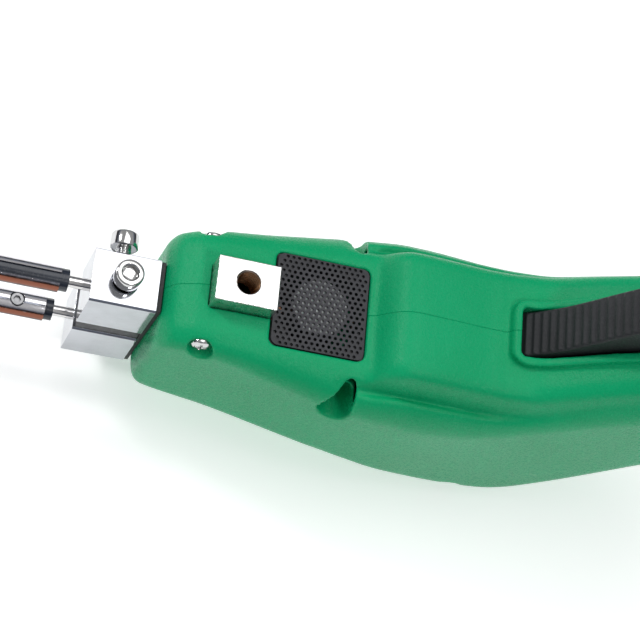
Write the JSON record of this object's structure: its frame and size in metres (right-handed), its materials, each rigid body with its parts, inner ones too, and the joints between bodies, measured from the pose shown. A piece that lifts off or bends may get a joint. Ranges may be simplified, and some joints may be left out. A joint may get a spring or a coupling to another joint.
{
  "type": "hot knife hand tool",
  "caption": "Hand-held hot knife: bent two-part handle with ribbed paddle trigger, vented nose with threaded guide block, twin terminal blocks with clamp screws, slotted arms and hairpin blade.",
  "frame": {"origin": "centre of the mouth of the threaded hole in the guide block, on the split plane", "axes": "+X from the blade toward the tail, +Y toward the left side, +Z out of the threaded hole, toward the trigger side"},
  "size_m": [0.2908, 0.0488, 0.1139],
  "materials": {
    "green_plastic": "satin, fine sparkle grain",
    "seal_rubber": "matt",
    "plated_metal": "bright nickel",
    "screw_steel": "polished",
    "insulator": "matt",
    "dark_sleeve": "satin",
    "bright_tube": "polished",
    "dark_steel": "satin",
    "blade_steel": "heat-tinted",
    "guide_nickel": "satin nickel",
    "screen_metal": "satin black",
    "black_plastic": "satin",
    "copper": "bare copper",
    "core_steel": "laminated",
    "coil_wire": "enamelled",
    "trigger_plastic": "matt, coarse grain",
    "spring_steel": "bright",
    "switch_plastic": "matt",
    "plunger_plastic": "satin",
    "brass_tabs": "plain",
    "board": "lacquered",
    "terminal_plastic": "matt",
    "inlet_rubber": "matt"
  },
  "bodies": {
    "tool_body": {"housing_left": "green_plastic", "housing_right": "green_plastic", "nose_seal": "seal_rubber", "block_upper": "plated_metal", "block_lower": "plated_metal", "block_insulator": "insulator", "clamp_screws_face": "screw_steel", "clamp_screws_side": "screw_steel", "arm_rod_upper": "plated_metal", "arm_rod_lower": "plated_metal", "arm_sleeve_upper": "dark_sleeve", "arm_sleeve_lower": "dark_sleeve", "arm_tube_upper": "bright_tube", "arm_tube_lower": "bright_tube", "arm_set_screws": "dark_steel", "blade": "blade_steel", "guide_block": "guide_nickel", "vent_screen": "screen_metal", "fan_frame": "black_plastic", "strap_upper": "copper", "strap_lower": "copper", "transformer_core": "core_steel", "transformer_coil": "coil_wire", "trigger_pin": "screw_steel", "return_spring": "spring_steel", "switch_body": "switch_plastic", "switch_tabs": "brass_tabs", "circuit_board": "board", "mains_terminal": "terminal_plastic", "cord_inlet": "inlet_rubber", "case_screws": "dark_steel"},
    "trigger_paddle": {"trigger": "trigger_plastic"},
    "plunger": {"switch_plunger": "plunger_plastic"},
    "rotor": {"fan_rotor": "black_plastic"}
  },
  "joints": [
    {"name": "trigger_hinge", "type": "hinge", "parent": "tool_body", "child": "trigger_paddle", "pos_m": [0.07302, 0, -0.00329], "axis": [0, 1, 0], "range_deg": [0, 4], "stiffness_Nm_per_rad": 6, "springref_deg": -2.86, "deforming": ["return_spring"]},
    {"name": "plunger_slide", "type": "slide", "parent": "tool_body", "child": "plunger", "axis": [0.6157, 0, -0.788], "range_m": [0, 0.0034]},
    {"name": "fan_spin", "type": "hinge", "parent": "tool_body", "child": "rotor", "pos_m": [0.0199, 0, -0.0139], "axis": [0, 0, 1], "continuous": true}
  ],
  "couplings": [
    {"joint": "plunger_slide", "follows": "trigger_hinge", "m_per_rad": 0.047}
  ]
}
